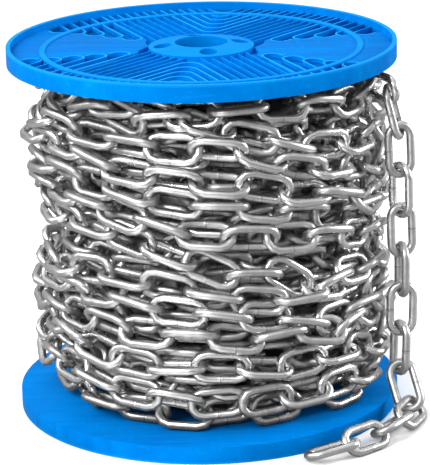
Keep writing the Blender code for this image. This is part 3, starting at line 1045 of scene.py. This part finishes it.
class OBJECT_OT_chain_winding(bpy.types.Operator):
    """Wind the chain on to the reel in layers and settle it, link against link"""

    bl_idname = "object.chain_winding"
    bl_label = "Chain Winding"

    def execute(self, context):
        settings = context.scene.chain_looks
        materials = finishes(context.scene)
        random = np.random.default_rng(settings.seed)
        layers = [laid_layer(settings, random, depth) for depth in LAYER_DEPTHS]
        sizes = [len(centre) for centre, _ in layers]
        least = np.repeat(LAYER_FLOORS, sizes)
        centre, turn = settled(settings, *[np.concatenate(part) for part in zip(*layers)], least,
                               *[np.array(part) for part in zip(*tail_poses())])
        poses = list(zip(centre, turn))
        tones = random.uniform(0, 1, len(poses))
        fine = model_link("link_pattern", settings, sides=7, crown_steps=5)
        coarse = model_link("deep_link_pattern", settings, sides=6, crown_steps=4)
        outer = sizes[0]
        per_turn = math.ceil(outer / len(FRONT_COURSES))
        for number, start in enumerate(range(0, outer, per_turn)):
            part = slice(start, min(start + per_turn, outer))
            piece = placed_links(f"chain_turn_{number + 1:02d}", fine, poses[part], tones[part])
            dress(piece, materials["bright_steel_wire"])
            if number == 0:
                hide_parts("chain_outer_layer")
        for name, start, stop in (("second_layer_links", outer, outer + sizes[1]),
                                  ("third_layer_links", outer + sizes[1], len(poses))):
            piece = placed_links(name, coarse, poses[start:stop], tones[start:stop])
            dress(piece, materials["shaded_steel_wire"])
        core = turned_band("packed_chain_core", CORE_RADIUS - CORE_WALL, CORE_RADIUS, WINDING_LOW,
                           WINDING_HIGH, CORE_SIDES)
        core.data.shade_smooth()
        dress(core, materials["shaded_steel_wire"])
        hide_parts("chain_inner_layers")
        for pattern in (fine, coarse):
            bpy.data.objects.remove(pattern, do_unlink=True)
        return {"FINISHED"}


class OBJECT_OT_chain_tail(bpy.types.Operator):
    """Model the links of the tail that hangs beside the reel and lies on the floor"""

    bl_idname = "object.chain_tail"
    bl_label = "Chain Tail"

    def execute(self, context):
        settings = context.scene.chain_looks
        steel = finishes(context.scene)["bright_steel_wire"]
        pattern = model_link("tail_pattern", settings, sides=16, crown_steps=10, straight_cuts=5,
                             share=settings.tail_share)
        for index, (name, pose) in enumerate(zip(TAIL_NODES, tail_poses())):
            piece = placed_links(f"{name}_wire", pattern, [pose], [(index * TAIL_TONE_STEP) % 1.0])
            dress(piece, steel)
            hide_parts(name)
        bpy.data.objects.remove(pattern, do_unlink=True)
        return {"FINISHED"}


# The stage


def soft_light(name, size, power, place):
    """A large square light facing the reel's middle."""
    light = bpy.data.lights.new(name, "AREA")
    light.shape = "SQUARE"
    light.size = size
    light.energy = power
    lamp = bpy.data.objects.new(name, light)
    bpy.context.scene.collection.objects.link(lamp)
    lamp.location = place
    facing = Vector((0, 0, REEL_HEIGHT / 2)) - Vector(place)
    lamp.rotation_euler = facing.to_track_quat("-Z", "Y").to_euler()


def pale_room(settings):
    """Even light all round, brighter above and a little brighter on the left."""
    world = bpy.data.worlds.new("pale_room")
    world.use_nodes = True
    tree = Tree(world.node_tree)
    direction = tree.add("ShaderNodeTexCoord").outputs["Generated"]
    parts = tree.add("ShaderNodeSeparateXYZ", {"Vector": direction}).outputs
    glow = tree.mix(tree.remap(parts["Z"], 0.05, 0.75), (0.27, 0.27, 0.27, 1.0), (1.0, 1.0, 1.0, 1.0))
    strength = tree.remap(parts["X"], -0.8, 0.8, 1.15 * settings.sky, 0.65 * settings.sky)
    tree.feed(world.node_tree.nodes["Background"], {"Color": glow, "Strength": strength})
    return world


def photo_camera(settings):
    """The camera where the photo was taken from."""
    lens = bpy.data.cameras.new("photo_camera")
    lens.lens = settings.focal_length
    lens.sensor_width = 36.0
    lens.clip_end = 50.0
    camera = bpy.data.objects.new("photo_camera", lens)
    bpy.context.scene.collection.objects.link(camera)
    pitch, yaw, roll = settings.pitch, settings.yaw, settings.roll
    ahead = Vector((math.sin(yaw) * math.cos(pitch), math.cos(yaw) * math.cos(pitch), -math.sin(pitch)))
    level = Vector((math.cos(yaw), -math.sin(yaw), 0.0))
    upward = level.cross(ahead)
    right = math.cos(roll) * level + math.sin(roll) * upward
    up = -math.sin(roll) * level + math.cos(roll) * upward
    turn = Matrix((right, up, -ahead)).transposed()
    camera.matrix_world = Matrix.Translation((0, -settings.distance, settings.height)) @ turn.to_4x4()
    return camera


class OBJECT_OT_reel_stage(bpy.types.Operator):
    """Lay the floor, set the soft lights and place the camera"""

    bl_idname = "object.reel_stage"
    bl_label = "Floor, Lights and Camera"

    def execute(self, context):
        settings = context.scene.stage_looks
        deselect()
        bpy.ops.mesh.primitive_plane_add(size=FLOOR_SIZE, location=(0, 0, -FLOOR_DROP))
        floor = context.active_object
        floor.name = "studio_floor"
        cover(floor, floor_material(settings))
        settle_in_place(floor)
        for name, size, power, place in LIGHTS:
            soft_light(name, size, getattr(settings, power), place)
        context.scene.world = pale_room(settings)
        context.scene.view_settings.view_transform = "Standard"
        context.scene.camera = photo_camera(settings)
        return {"FINISHED"}


class VIEW3D_PT_chain_reel(bpy.types.Panel):
    """Sidebar panel that lists the sizes, colours and steps"""

    bl_idname = "VIEW3D_PT_chain_reel"
    bl_label = "Chain Reel"
    bl_space_type = "VIEW_3D"
    bl_region_type = "UI"
    bl_category = "Chain Reel"

    def draw(self, context):
        layout = self.layout
        for group in (context.scene.reel_looks, context.scene.chain_looks, context.scene.stage_looks):
            box = layout.box()
            for name in group.__annotations__:
                box.prop(group, name)
        for operator in OPERATORS:
            layout.operator(operator.bl_idname)


GROUPS = (("reel_looks", ReelSettings), ("chain_looks", ChainSettings), ("stage_looks", StageSettings))
OPERATORS = (OBJECT_OT_reel_stage, OBJECT_OT_reel_flanges, OBJECT_OT_chain_winding, OBJECT_OT_chain_tail)


def register():
    """Register the settings, the operators and the panel."""
    for name, group in GROUPS:
        bpy.utils.register_class(group)
        setattr(bpy.types.Scene, name, bpy.props.PointerProperty(type=group))
    for made in (*OPERATORS, VIEW3D_PT_chain_reel):
        bpy.utils.register_class(made)


def unregister():
    """Undo register, in the opposite order."""
    for made in reversed((*OPERATORS, VIEW3D_PT_chain_reel)):
        bpy.utils.unregister_class(made)
    for name, group in reversed(GROUPS):
        delattr(bpy.types.Scene, name)
        bpy.utils.unregister_class(group)


def main():
    """Build everything in order."""
    register()
    bpy.ops.object.reel_stage()
    bpy.ops.object.reel_flanges()
    bpy.ops.object.chain_winding()
    bpy.ops.object.chain_tail()


if __name__ == "__main__":
    main()
